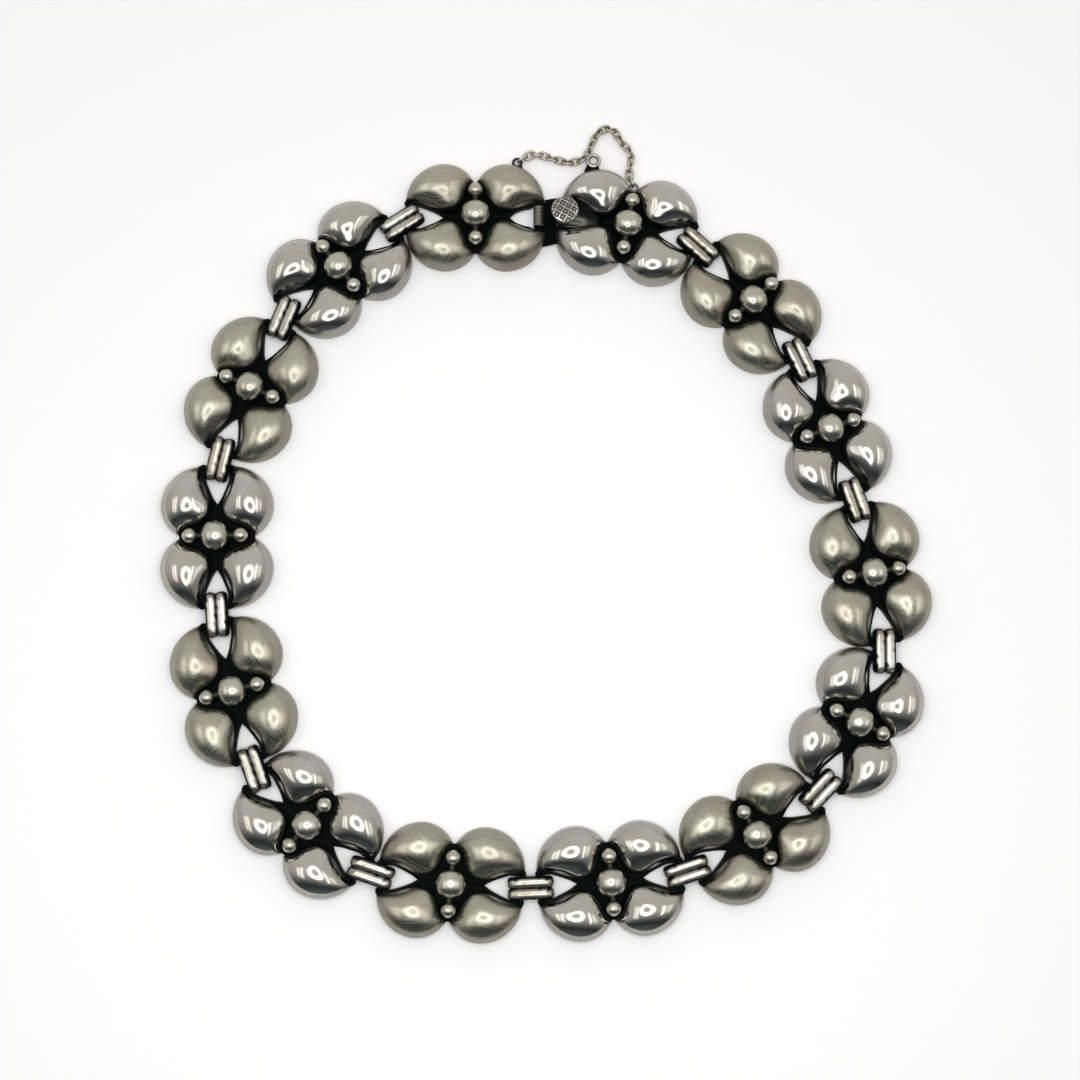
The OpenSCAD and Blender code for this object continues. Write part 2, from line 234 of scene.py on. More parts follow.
def silver(name, bare, warm, film, warmth, bare_roughness, film_roughness, across, along, depth,
           stroke_light, stroke_dull=0.0):
    """A silver finish: patina and painted shade by the mesh's dark mark, and strokes that raise
    the surface, lighten or darken it a little, and dull it between one stroke and the next."""
    material = bpy.data.materials.new(name)
    material.use_nodes = True
    tree = material.node_tree
    add, link = tree.nodes.new, tree.links.new
    shader = tree.nodes["Principled BSDF"]
    mark = add("ShaderNodeAttribute")
    mark.attribute_name = "dark"
    tarnished_and_shaded = add("ShaderNodeGroup")
    tarnished_and_shaded.node_tree = tarnish_and_shade
    for label, value in (
            ("Bare", (*bare, 1)), ("Warm", (*warm, 1)), ("Film", (*film, 1)), ("Warmth", warmth),
            ("Bare roughness", bare_roughness), ("Film roughness", film_roughness)):
        tarnished_and_shaded.inputs[label].default_value = value
    link(mark.outputs["Fac"], tarnished_and_shaded.inputs["Mark"])
    brushed = add("ShaderNodeGroup")
    brushed.node_tree = strokes
    brushed.inputs["Across"].default_value = across
    brushed.inputs["Along"].default_value = along
    shade = add("ShaderNodeMapRange")
    span(shade, "From", 0.3, 0.7)
    span(shade, "To", 1 - stroke_light, 1 + stroke_light)
    link(brushed.outputs["Stroke"], shade.inputs["Value"])
    tinted = add("ShaderNodeVectorMath")
    tinted.operation = "SCALE"
    link(tarnished_and_shaded.outputs["Colour"], tinted.inputs[0])
    link(shade.outputs["Result"], tinted.inputs["Scale"])
    link(tinted.outputs[0], shader.inputs["Base Color"])
    shader.inputs["Metallic"].default_value = 1.0
    dulled, rough = add("ShaderNodeMapRange"), add("ShaderNodeMath")
    span(dulled, "From", 0.44, 0.56)
    span(dulled, "To", 1 - stroke_dull, 1 + stroke_dull)
    rough.operation = "MULTIPLY"
    link(brushed.outputs["Stroke"], dulled.inputs["Value"])
    link(dulled.outputs["Result"], rough.inputs[0])
    link(tarnished_and_shaded.outputs["Roughness"], rough.inputs[1])
    link(rough.outputs[0], shader.inputs["Roughness"])
    bump = add("ShaderNodeBump")
    bump.inputs["Strength"].default_value = 1.0
    bump.inputs["Distance"].default_value = depth * 0.001
    link(brushed.outputs["Stroke"], bump.inputs["Height"])
    link(bump.outputs["Normal"], shader.inputs["Normal"])
    return material


# Blackened silver for the plates and the tongue's bridge and leaf, and for the black sheet of
# painted shadow between the clasp's links.
blackened_and_shadow = silver(
    "blackened_silver_and_shadow", bare=(0.12, 0.115, 0.1), warm=(0.14, 0.11, 0.08),
    film=(0.0032, 0.0045, 0.0038), warmth=0.5, bare_roughness=0.4, film_roughness=0.5,
    across=3.0, along=1.0, depth=0.02, stroke_light=0.1)

plate_low, plate_high, plate_end, plate_edge_power = 0.05, 0.95, 12.6, 0.35
wing_start, hub_end, hole_start, rubbed_width, brow_reach = 5.2, 5.0, 6.4, 0.35, 13
plate_brow = [
    (0, 6.75), (2.5, 6.75), (6.5, 3.4), (9.5, 3.9), (11.8, 4.3), (12.2, 3.8), (12.6, 3.3)]
hole_brow = [
    (0, -0.3), (5.4, -0.3), (5.85, 0.0), (7.0, 0.72), (8.0, 1.18), (9.3, 1.72), (10.2, 2.05),
    (12.6, 2.05)]
clasp_brow = [
    (0, -0.3), (5.9, -0.3), (6.4, 0.1), (7.2, 0.8), (8.0, 1.2), (9.0, 1.55), (10.0, 1.7),
    (10.6, 2.1), (12.6, 2.1)]
no_hole = [(0, -0.3), (brow_reach, -0.3)]


def softened(brow, x):
    """A brow's height at each x: a line drawn through the brow's points is averaged over one
    millimetre, which rounds its corners, and read off at the distance from the middle."""
    fine = np.linspace(0, brow_reach, 521)
    weights = np.hanning(41) / np.hanning(41).sum()
    line = np.pad(np.interp(fine, *zip(*brow)), 20, "edge")
    return np.interp(np.abs(x), fine, np.convolve(line, weights, "valid"))


def half_plate(side, brows):
    """Half of a plate, swept along X: a box section with rounded edges from the hole's edge, or
    the middle, to the outer edge, closed to a line at both ends."""
    wing = np.linspace(wing_start, plate_end, 60)
    x = np.concatenate(
        [[-plate_end], -wing[::-1], np.linspace(-hub_end, hub_end, 12), wing, [plate_end]])
    outer, left, right = (softened(brow, x) for brow in (plate_brow, *brows))
    inner = np.where(x < 0, left, right)
    round_y, round_z = squared(np.linspace(0, 2 * np.pi, 25), plate_edge_power, plate_edge_power)
    wide = np.ones_like(x)
    wide[[0, -1]] = 0.0
    y = ((outer + inner) / 2)[:, None] + ((outer - inner) / 2 * wide)[:, None] * round_y
    z = (plate_low + plate_high) / 2 + (plate_high - plate_low) / 2 * wide[:, None] * round_z
    by_edge = np.exp(-((y - inner[:, None]) / rubbed_width) ** 2)
    rubbed = by_edge * (np.abs(x) > hole_start)[:, None] * (z > (plate_low + plate_high) / 2)
    points = np.stack([x[:, None] + 0 * y, side * y, z], -1)
    return {"points": points, "dark": 1.0 - 0.35 * rubbed}


def moved(grid, number):
    """The same grid laid at its link's place in the ring."""
    return dict(grid, points=laid_at(grid["points"], number))


for number, name in enumerate(link_names, 1):
    brows = (no_hole if number == 1 else hole_brow, clasp_brow if number == 14 else hole_brow)
    halves = [moved(half_plate(side, brows), number) for side in (1, -1)]
    plate = skin(name + "_plate", halves, [blackened_and_shadow])
    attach(plate, "necklace")


# Domes. Four comma-shaped domes are stamped from sheet silver, open at the back, and soldered
# round the plate. On every second link they are brushed to a satin face, on the others polished.
# The silver is bare on top and a little darker towards the seams between the domes. Beside the
# beads and the hole the face is painted darker, as shade in the recess, and the satin domes'
# sides are painted darker, as shade.
lobe_centre, lobe_r = np.array([5.4, 2.6]), 7.4
shoulder_centre, shoulder_r = np.array([5.66, 3.9]), 6.1
dome_centre, dome_top, dome_edge, dome_fullness = np.array([5.6, 5.0]), 4.6, 0.45, 0.44
dome_wall, dome_depth, dome_lip, lip_width, lip_upturn = 0.8, 3.6, 1.9, 0.022, 0.11
face_rings, foot_rings, recess_start, source_gap = 48, 3, 66, 0.7
lip_rise = [
    (0.0, 0.0), (0.48, 0.0), (0.55, 0.25), (0.62, 0.8), (0.68, 1.0), (0.75, 0.97), (0.81, 0.75),
    (0.87, 0.45), (0.93, 0.2), (1.0, 0.0)]


def climb(values, first, last):
    """Nought up to the first bound and one past the last, with a straight climb between them. The
    bounds may run downwards."""
    return np.clip((values - first) / (last - first), 0, 1)


def bend(corners, count):
    """A cubic Bezier curve through the first and last of four corners, without its first point."""
    t = np.linspace(0, 1, count + 1)[1:, None]
    a, b, c, d = (np.asarray(p, float) for p in corners)
    return (1 - t) ** 3 * a + 3 * (1 - t) ** 2 * t * b + 3 * (1 - t) * t ** 2 * c + t ** 3 * d


def arc(centre, radius, first, last, count):
    """Points on a circle from one angle to another, in degrees."""
    a = np.radians(np.linspace(first, last, count))[:, None]
    return centre + radius * np.concatenate([np.cos(a), np.sin(a)], 1)


def dome_outline(fine=1):
    """Outline of a dome in plan: an arc round the outside from the tail's tip, a tighter arc to
    the waist, then two S-shaped curves down the inner side and out along the tail."""
    outside = arc(lobe_centre, lobe_r, 1.6, 88, 44 * fine)
    shoulder = arc(shoulder_centre, shoulder_r, 90.3, 150.5, 23 * fine)
    inside = bend([shoulder[-1], (1.8, 5.6), (1.8, 1.0), (5.0, 1.0)], 28 * fine)
    tail = bend([(5.0, 1.0), (7.2, 1.0), (8.5, 2.45), outside[0]], 34 * fine)
    return np.concatenate([outside, shoulder, inside, tail])


outline, fine_outline = dome_outline(), dome_outline(6)[:-1]


def swell(points, rim):
    """How far a film blown up over the outline stands at each point: the solution of a level push
    on a stretched film, as a falling parabola plus ripples of sources set just outside the rim,
    chosen so that it is nought all along the rim."""
    edge = np.roll(rim, -1, 0) - np.roll(rim, 1, 0)
    out = np.stack([edge[:, 1], -edge[:, 0]], 1) / np.linalg.norm(edge, axis=1)[:, None]
    sources = (rim + source_gap * out)[::3]

    def ripples(p):
        return np.log(np.linalg.norm(p[:, None] - sources[None], axis=2))

    def push(p):
        return -((p - dome_centre) ** 2).sum(1) / 4

    table = np.concatenate([ripples(rim), np.ones((len(rim), 1))], 1)
    weights = np.linalg.lstsq(table, -push(rim), rcond=1e-7)[0]
    flat = points.reshape(-1, 2)
    return (push(flat) + ripples(flat) @ weights[:-1] + weights[-1]).reshape(points.shape[:-1])


def dome_grid(hole_edge_shade, edge_from, side_shade):
    """Grid of one dome and its dark marks. Painted shade reaches from edge_from outwards beside
    the hole with the strength hole_edge_shade, and over the last rings beside the beads; painted
    shade also grows from the top outwards to side_shade. The grid runs from the dome's top over
    its outer face to its foot, across the rim, and up the hollow inside to the middle. Each ring
    is the outline drawn in towards the dome's centre, and its height is the swell of a film raised
    to a power. On the side of the recess the face is more sloped and ends high, in a narrow level
    lip above a sheer black wall."""
    step = np.sin(np.linspace(0, np.pi / 2, face_rings))[:, None]
    count = len(outline)
    at = np.arange(count)
    recess = ((at > recess_start) & (at < count - 4)).astype(float)
    looped = np.concatenate([recess[-14:], recess, recess[:14]])
    recess = np.clip(np.convolve(looped, np.hanning(21) / 10, "same")[14:-14], 0, 1)
    recess[-1] = recess[0]
    tailward = recess * climb(outline[:, 0], 4.5, 7.5) * climb(outline[:, 0], 12.6, 8.6)
    away = climb(step, 0.1, 0.8)
    away = away * away * (3 - 2 * away)
    lip = np.interp(np.arange(-12, count + 12) / (count - 1), *zip(*lip_rise))
    lip = np.convolve(lip, np.hanning(25) / 12, "valid")

    rings = dome_centre + step[..., None] * (outline - dome_centre)
    drawn = np.minimum(step / (1 - lip_width * recess), 1)
    film = swell(dome_centre + drawn[..., None] * (outline - dome_centre), fine_outline)
    film = np.clip(film - film[-1] * drawn ** 10, 0, None)
    once = slice(count - 1, 2 * count - 1)
    calmed = np.array([
        np.convolve(np.tile(ring[:-1], 3), np.hanning(19) / 9, "same")[once] for ring in film])
    film = film + (calmed - film) * recess * climb(step, 0.7, 0.9)
    film = (film / film.max()) ** (dome_fullness + 0.3 * lip * away)
    film[drawn > 0.9999] = 0
    low = dome_edge + dome_lip * lip * away + lip_upturn * tailward * climb(step, 1 - lip_width, 1)
    face = np.concatenate([rings, (low + (dome_top - low) * film)[..., None]], -1)

    foot = np.concatenate([outline, np.zeros((count, 1))], 1)[None]
    foot = np.concatenate([face[-1:] - [0, 0, 0.1], face[-1:] * 0.35 + foot * 0.65, foot])
    hollow = swell(rings, fine_outline)
    hollow = np.clip(hollow - hollow[-1] * step ** 10, 0, None)
    hollow = dome_depth * (hollow / hollow.max()) ** dome_fullness
    back = dome_centre + dome_wall * (rings - dome_centre)
    back = np.concatenate([back, hollow[..., None]], -1)[::-2]
    back[0, :, 2] = 0
    points = np.concatenate([face, foot, back])

    seam = (1 - recess) * 0.36 * climb(step, 0.7, 0.9)
    # Painted shade: the face darkens beside the beads and beside the hole, where the recess lies
    # in shade, with the very rim by the hole left a little lighter.
    by_beads = (recess - tailward) * climb(step, 0.8, 0.94)
    edge_line = tailward * climb(step, 0.97, 0.98)
    by_hole = tailward * hole_edge_shade * climb(step, edge_from, edge_from + 0.08)
    recess_shade = by_beads + by_hole * (1 - edge_line) + 0.5 * edge_line
    # Painted shade: the satin faces darken from the top towards their sides.
    dulled = side_shade * climb(step, 0.2, 0.8)
    inside = face_rings + foot_rings
    dark = np.zeros(points.shape[:2])
    dark[:face_rings] = np.maximum(np.maximum(recess_shade, seam), dulled)
    dark[face_rings:inside] = recess * 1.1 + (1 - recess) * 0.3
    dark[inside:] = 0.45 + 0.3 * climb(points[inside:, :, 2], 2.5, 0)
    return points, dark


dome_points, satin_dark = dome_grid(hole_edge_shade=0.5, edge_from=0.9, side_shade=0.26)
polished_dark = dome_grid(hole_edge_shade=0.65, edge_from=0.87, side_shade=0.0)[1]

worn = silver(
    "worn_silver", bare=(0.47, 0.46, 0.4), warm=(0.4, 0.36, 0.3),
    film=(0.008, 0.01, 0.009), warmth=0.6, bare_roughness=0.27, film_roughness=0.7,
    across=6.0, along=1.2, depth=0.012, stroke_light=0.14)
polished = silver(
    "polished_silver", bare=(0.457, 0.453, 0.41), warm=(0.41, 0.36, 0.315),
    film=(0.008, 0.01, 0.009), warmth=0.55, bare_roughness=0.14, film_roughness=0.75,
    across=5.0, along=0.7, depth=0.004, stroke_light=0.05)
satin = silver(
    "satin_silver", bare=(0.4, 0.392, 0.318), warm=(0.34, 0.29, 0.235),
    film=(0.01, 0.015, 0.012), warmth=0.7, bare_roughness=0.28, film_roughness=0.8,
    across=9.0, along=0.5, depth=0.0065, stroke_light=0.11, stroke_dull=0.22)

for number, name in enumerate(link_names, 1):
    brushed = number % 2 == 0
    chance = np.random.default_rng(number)
    grids = []
    for mirror_x, mirror_y in ((1, 1), (-1, 1), (-1, -1), (1, -1)):
        own = dome_points * [mirror_x, mirror_y, 1]
        lean = np.radians(25 * mirror_x * mirror_y + chance.uniform(-40, 40))
        flat = own[..., :2] - dome_centre * [mirror_x, mirror_y]
        along = flat @ [np.cos(lean), np.sin(lean)]
        across = flat @ [-np.sin(lean), np.cos(lean)] + 0.035 * along ** 2 * mirror_x
        stroke = np.stack([along, across], -1) + chance.uniform(0, 900, 2)
        dark = satin_dark if brushed else polished_dark
        grids.append({"points": laid_at(own, number), "dark": dark, "stroke": stroke})
    domes = skin(name + "_domes", grids, [satin if brushed else polished])
    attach(domes, "necklace")
    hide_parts(name)


# Beads. A large oval bead sits in the middle of each link between two small round ones, all
# on one short rod, and the small ones are pegged to the plate. They are polished, and dark
# where they meet the rod. The small beads' lower halves are painted darker, as shade.
bead_z, bead_reach, bead_fullness = 3.2, (2.66, 2.48, 2.36), 2.15
small_bead_y, small_bead_r, peg_r, rod_r, rod_reach = 4.46, 1.34, 0.8, 0.44, 4.5


def bead_grid(middle, reach, fullness):
    """A bead on the rod: a circle round Y whose radius falls off towards both poles like a rounded
    square's, of the given fullness (2 is an ellipse)."""
    pole = np.radians(np.linspace(-90, 90, 33))[:, None]
    turn = np.radians(np.linspace(0, 360, 65))[None]
    out, along = squared(pole, 2 / fullness, 2 / fullness)
    x = reach[0] * out * np.cos(turn)
    y = reach[1] * along + 0 * turn
    z = reach[2] * out * np.sin(turn)
    return np.stack([x, y, z], -1) + np.asarray(middle)


def tube_grid(path, radius, sides=17):
    """A round wire along a path: a circle square to the path at each point, shrunk to nothing at
    both ends."""
    path = np.asarray(path, float)
    way = np.gradient(path, axis=0)
    way /= np.linalg.norm(way, axis=1)[:, None]
    up = np.where(np.abs(way[:, 2:3]) > 0.9, [[1.0, 0, 0]], [[0, 0, 1.0]])
    side = np.cross(way, up)
    side /= np.linalg.norm(side, axis=1)[:, None]
    up = np.cross(side, way)
    turn = np.linspace(0, 2 * np.pi, sides)[:, None]
    ring = radius * (np.cos(turn) * side[:, None] + np.sin(turn) * up[:, None])
    ring = np.concatenate([0 * ring[:1], ring, 0 * ring[-1:]])
    return np.concatenate([path[:1], path, path[-1:]])[:, None] + ring


for number, name in enumerate(link_names, 1):
    centre = bead_grid((0, 0, bead_z), bead_reach, bead_fullness)
    grids = [{"points": centre, "dark": 0.3 * climb(np.abs(centre[..., 1]), 2.2, 2.4)}]
    for side in (1, -1):
        y = side * small_bead_y
        small = bead_grid((0, y, bead_z), (small_bead_r,) * 3, 2.0)
        # Painted shade: each small bead darkens towards its underside.
        grids.append({"points": small, "dark": 0.8 * climb(small[..., 2], 2.7, 1.5)})
        peg = np.linspace((0, y, 0.4), (0, y, 3.0), 4)
        grids.append({"points": tube_grid(peg, peg_r), "dark": 1.0})
    rod = np.linspace((0, -rod_reach, bead_z), (0, rod_reach, bead_z), 8)
    grids.append({"points": tube_grid(rod, rod_r), "dark": 0.72})
    beads = skin(name + "_beads", [moved(grid, number) for grid in grids], [worn])
    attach(beads, "necklace")


# End bars. A silver wire is soldered across each end of a link, between the tips of the two
# tails, and bent inwards so that a joining loop can swing on it. The last link's right end
# has a straight wire, which the clasp's tongue is wrapped round.
bar_z, bar_reach, bar_bend_r, bar_half_angle, bar_r, bar_dark = 1.35, 11.5, 3.0, 50, 0.45, 1.05
straight_bar_x, tail_hold = 11.6, (11.8, 3.6)


def bent_bar_path():
    """The path of a bent bar: an arc bulging towards the link's middle, and a straight stretch
    from each of its ends into a tail."""
    centre = np.array([bar_reach + bar_bend_r, 0])
    middle = arc(centre, bar_bend_r, 180 - bar_half_angle, 180 + bar_half_angle, 25)
    tail = bend([middle[0], (12.65, 2.5), (12.3, 2.9), tail_hold], 8)
    path = np.concatenate([tail[::-1], middle, tail * [1, -1]])
    return np.column_stack([path, np.full(len(path), bar_z)])


bent_bar = tube_grid(bent_bar_path(), bar_r)
straight_bar = tube_grid(np.linspace(
    (straight_bar_x, tail_hold[1], bar_z), (straight_bar_x, -tail_hold[1], bar_z), 12), bar_r)
for number, name in enumerate(link_names, 1):
    wires = [] if number == 1 else [bent_bar * [-1, 1, 1]]
    wires.append(straight_bar if number == 14 else bent_bar)
    grids = [{"points": laid_at(wire, number), "dark": bar_dark} for wire in wires]
    bars = skin(name + "_bars", grids, [polished])
    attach(bars, "necklace")


# Joining loops. Each is a flat closed loop of strip with two half-round ridges side by side,
# bent up, passed round the bars of two neighbouring links and soldered shut. The ridges' crests
# are bright; their sides, the groove between them, the inside, the loop's ends and its underside
# are painted darker, as shade.
loop_half, loop_inner_r, ridge_crown, ridge_edge, ridge_width = 2.725, 0.65, 0.72, 0.08, 1.96
inside_shade, groove_shade = 1.2, 0.7


def stadium(half, radius, end_count, side_count):
    """A closed path of two half circles joined by straight sides, in the XZ plane: each point's x
    and z, and the x and z of the direction that faces outwards there."""
    turn = np.radians(np.linspace(-90, 90, end_count))
    right = np.column_stack([
        half + radius * np.cos(turn), radius * np.sin(turn), np.cos(turn), np.sin(turn)])
    run = np.linspace(half, -half, side_count + 2)[1:-1]
    top = np.column_stack([
        run, np.full(side_count, radius), np.zeros(side_count), np.ones(side_count)])
    path = np.concatenate([right, top, -right, -top])
    return np.concatenate([path, path[:1]])


def carried(path, out, across):
    """A section carried round a stadium: its points stand out from the path by the first distance
    and along Y by the second."""
    return np.stack([
        path[:, 0:1] + path[:, 2:3] * out, 0 * path[:, 0:1] + across,
        path[:, 1:2] + path[:, 3:4] * out], -1)


def loop_grid():
    """A stadium carrying a section with a flat inner side and an outer side of two humps, each a
    circle's arc. The painted shade grows with the distance from each hump's crown, at the loop's
    ends and on its underside, and fills the flat inner side."""
    path = stadium(loop_half, loop_inner_r, 33, 24)
    hump = np.sin(np.linspace(-np.pi / 2, np.pi / 2, 21))
    rise = ridge_edge + (ridge_crown - ridge_edge) * np.sqrt(1 - hump ** 2)
    shade = [np.where(inward > 0, groove_shade, 1) * np.abs(hump) for inward in (hump, -hump)]
    shade = np.concatenate([*shade, np.full(9, inside_shade), shade[0][:1]])
    y = np.concatenate([hump - 0.99, hump + 0.99]) * ridge_width / 2
    y = np.concatenate([y, np.linspace(y[-1], y[0], 9), y[:1]])
    points = carried(path, np.concatenate([rise, rise, np.zeros(9), rise[:1]]), y)
    # Painted shade: darker down the humps' sides into the groove, on the inside, at the ends and
    # underneath.
    dark = climb(shade, 0.25, 0.9) ** 1.2 + 0.3 * climb(np.abs(path[:, 0:1]), 2.2, 3.0)
    dark = np.maximum(dark, np.clip(0.3 - path[:, 1:2] * 1.1, 0, 0.9))
    return {"points": points, "dark": dark, "stroke": points[..., :2]}


loop_silver = silver(
    "loop_silver", bare=(0.52, 0.52, 0.47), warm=(0.34, 0.29, 0.24),
    film=(0.01, 0.011, 0.011), warmth=0.85, bare_roughness=0.25, film_roughness=0.65,
    across=6.0, along=1.2, depth=0.012, stroke_light=0.14)
loop = loop_grid()
for number in range(1, 14):
    a, b = heading_vector(number), heading_vector(number + 1)
    first = np.array(link_places[number - 1][:2]) + bar_reach * a
    second = np.array(link_places[number][:2]) - bar_reach * b
    along = (second - first) / np.linalg.norm(second - first)
    middle = (first + second) / 2 + bar_bend_r / 2 * (along @ a - along @ b) * along + ring_shift
    x, y = loop["points"][..., 0], loop["points"][..., 1]
    spots = np.sin(2.3 * x + 2.1 * number) * np.cos(2.9 * y - 1.3 * x + 3.7 * number)
    name = "connector_%02d" % number
    connector = skin(name + "_loop", [{
        "points": set_along(loop["points"], along, (*middle, bar_z)),
        "dark": loop["dark"] + 0.42 * climb(spots, 0.15, 1.15),
        "stroke": loop["stroke"] + 13 * number}], [loop_silver])
    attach(connector, "necklace")
    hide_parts(name)


# Clasp box. Under the left end of the first link a small box of sheet silver is soldered
# between the tails, rounded on top like a barrel, with a mouth at the link's end and a slot in
# its roof for the thumb piece's post. It is dark, and smooth enough to shine.
box_bottom, box_top, box_mouth, box_crown_r = 0.12, 2.72, -12.7, 3.6
box_floor, box_ceiling, box_end, box_half_width = 0.55, 2.15, -7.4, 1.65
slot_end, slot_half, slot_edge, box_middle_z = -11.2, 0.43, 0.02, 1.4
box_outside = [
    (-4.6, 0, 0.35), (-4.7, 0.35, 0.45), (-5.0, 0.7, 0.58), (-5.5, 0.95, 0.7), (-6.2, 1.15, 0.82),
    (-7.0, 1.4, 0.92), (-8.0, 1.85, 0.98), (-9.0, 2.3, 1), (-10.0, 2.45, 1), (-10.6, 2.45, 1),
    (slot_end, 2.45, 1), (box_mouth + 0.05, 2.45, 1), (box_mouth, 2.4, 0.98)]
box_inside = [(box_mouth, 1), (slot_end, 1), (-9.0, 1), (box_end, 1), (box_end, 0)]


def box_grid():
    """A box section with a barrel-shaped roof carried along X from the tapered back to the mouth,
    and back again inside it. The roof's middle columns stop short of the mouth, which leaves the
    slot."""
    left = np.linspace(-1, -slot_half - slot_edge, 14)
    over = np.linspace(slot_edge - slot_half, slot_half - slot_edge, 9)
    roof = np.concatenate([left, [-slot_half], over, [slot_half], -left[::-1]])
    y = np.concatenate([[-1, -1], roof, [1, 1], np.linspace(1, -1, 9), [-1]])
    z = np.concatenate([[0.3, 0.8], np.ones(39), [0.8, 0.3], np.zeros(9), [0.3]])
    slotted = (z > 0.9) & (np.abs(y) < slot_half + 0.01)
    rows = []
    for x, half, tall in box_outside:
        crown = box_top - (box_crown_r - np.sqrt(box_crown_r ** 2 - (y * half) ** 2))
        rows.append((x, y * half, box_bottom + (crown - box_bottom) * z * tall))
    for x, share in box_inside:
        high = box_floor + (box_ceiling - box_floor) * z if share else box_middle_z + 0 * z
        rows.append((x, y * box_half_width * share, high))
    return np.stack([
        np.stack([np.where(slotted, max(x, slot_end), x), across, high], -1)
        for x, across, high in rows])


box_silver = silver(
    "box_silver", bare=(0.11, 0.115, 0.095), warm=(0.1, 0.09, 0.065),
    film=(0.008, 0.01, 0.009), warmth=0.6, bare_roughness=0.2, film_roughness=0.3,
    across=3.0, along=0.8, depth=0.015, stroke_light=0.15)
box_points = box_grid()
# Painted shade: on top of its own dark tone the roof darkens towards +Y and towards its back end,
# where the domes hang over it.
box_dark_and_shade = 0.4 + 0.5 * climb(box_points[..., 1], -0.8, 0.5)
box_dark_and_shade += 0.4 * climb(box_points[..., 0], -8.2, -5.7)
box_dark_and_shade[-len(box_inside):] = 1.0
box = skin("clasp_box", [{"points": laid_at(box_points, 1), "dark": box_dark_and_shade}], [box_silver])
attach(box, "necklace")


# Clasp tongue. A strip of silver is rolled into a tube round the last link's straight bar,
# milled along one edge, and goes on as a flat leaf into the box. A thin black sheet on it fills
# the narrow space between the two links: painted shadow for the shade between the domes' tails.
# It is dark, with rubbed edges.
tube_r, tube_bore_r, tube_length, mill_waves, mill_depth = 0.95, 0.57, 4.0, 6, 0.12
tongue_half_width, tongue_z, tongue_t, bridge_t = 1.5, 0.65, 0.3, 0.4
shadow_sheet_first_y, shadow_sheet_last_y, shadow_sheet_left_x, shadow_sheet_right_x = 3.4, -5.4, 12.25, 12.83
shadow_sheet_z, shadow_sheet_half_t = 0.45, 0.35


def milled_tube_grid():
    """A tube round the bar: a rectangle turned about Y, pinched in on the side towards the clasp
    by a row of small waves."""
    y = np.linspace(-tube_length / 2, tube_length / 2, 61)
    turn = np.radians(np.linspace(0, 360, 65))[:, None]
    facing = np.exp(-((np.cos(turn) - 0.75) / 0.3) ** 2)
    wave = (0.5 + 0.5 * np.cos(2 * np.pi * mill_waves * (y / tube_length + 0.5))) * facing
    outside = tube_r - mill_depth * wave
    radius = np.concatenate([outside, np.full((65, 61), tube_bore_r), outside[:, :1]], 1)
    dark = np.concatenate([0.56 + 0.5 * wave ** 2, np.ones((65, 61)), 0.9 + 0 * turn], 1)
    y = np.concatenate([y, y[::-1], y[:1]])
    points = np.stack([
        straight_bar_x + radius * np.cos(turn), y + 0 * turn, bar_z + radius * np.sin(turn)], -1)
    return points, np.maximum(dark, climb(np.abs(y), 1.8, 1.9))


def slab(first, last, thickness, rows=14):
    """A flat bar lofted between two cross edges, each given by its two upper corners in metres,
    with rounded long edges."""
    wide, thick = squared(np.linspace(0, 2 * np.pi, 25), 0.25, 0.5)
    t = np.linspace(0, 1, rows)[:, None, None]
    left = np.asarray(first[0]) * (1 - t) + np.asarray(last[0]) * t
    right = np.asarray(first[1]) * (1 - t) + np.asarray(last[1]) * t
    middle, half = (left + right) / 2, (right - left) / 2
    down = np.array([0, 0, 0.0005 * thickness])
    body = middle + half * wide[:, None] + down * (thick[:, None] - 1)
    core = middle + 0 * body - down
    return np.concatenate([core[:1], body, core[-1:]])


def shadow_sheet_grid():
    """A thin black sheet of painted shadow between two curves that follow the domes' round edges
    on either side, closed to a line at both ends."""
    y = np.linspace(shadow_sheet_first_y, shadow_sheet_last_y, 45)
    y = np.concatenate([y[:1], y, y[-1:]])
    past_lobe = np.clip(np.abs(y) - lobe_centre[1], 0, None)
    lobe_edge = lobe_centre[0] + np.sqrt(lobe_r ** 2 - past_lobe ** 2) + 0.03
    reach = np.where(np.abs(y) < 2.7, shadow_sheet_left_x, lobe_edge)
    far = np.where(np.abs(y) < 2.6, shadow_sheet_right_x, reach)
    left = laid_at(np.column_stack([reach, y, 0 * y]), 14)
    right = laid_at(np.column_stack([-far, y, 0 * y]), 1)
    wide = np.ones((len(y), 1))
    wide[[0, -1]] = 0.0
    across, thick = squared(np.linspace(0, 2 * np.pi, 21), 0.25, 0.5)
    body = ((left + right)[:, None] + (right - left)[:, None] * (across * wide)[..., None]) / 2
    body[..., 2] = 0.001 * (shadow_sheet_z + shadow_sheet_half_t * thick * wide)
    return body


tube, tube_dark = milled_tube_grid()
edge_y, top_z = tube_length / 2 - 0.2, tongue_z + tongue_t
from_tube = laid_at([(straight_bar_x + 0.7, side * edge_y, top_z + 0.2) for side in (1, -1)], 14)
to_leaf = laid_at([(box_mouth - 0.5, side * tongue_half_width, top_z) for side in (1, -1)], 1)
leaf_end = laid_at([(box_end - 0.1, side * tongue_half_width, top_z) for side in (1, -1)], 1)
tongue = skin("clasp_tongue_leaf", [
    # Painted shadow: the black sheet between the two links' tails.
    {"points": shadow_sheet_grid(), "dark": 1.1, "material": 1},
    {"points": laid_at(tube, 14), "dark": tube_dark},
    {"points": slab(from_tube, to_leaf, bridge_t), "dark": 0.95, "material": 1},
    {"points": slab(to_leaf, leaf_end, tongue_t), "dark": 0.8, "material": 1}], [worn, blackened_and_shadow])
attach(tongue, "necklace")
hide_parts("clasp_tongue")


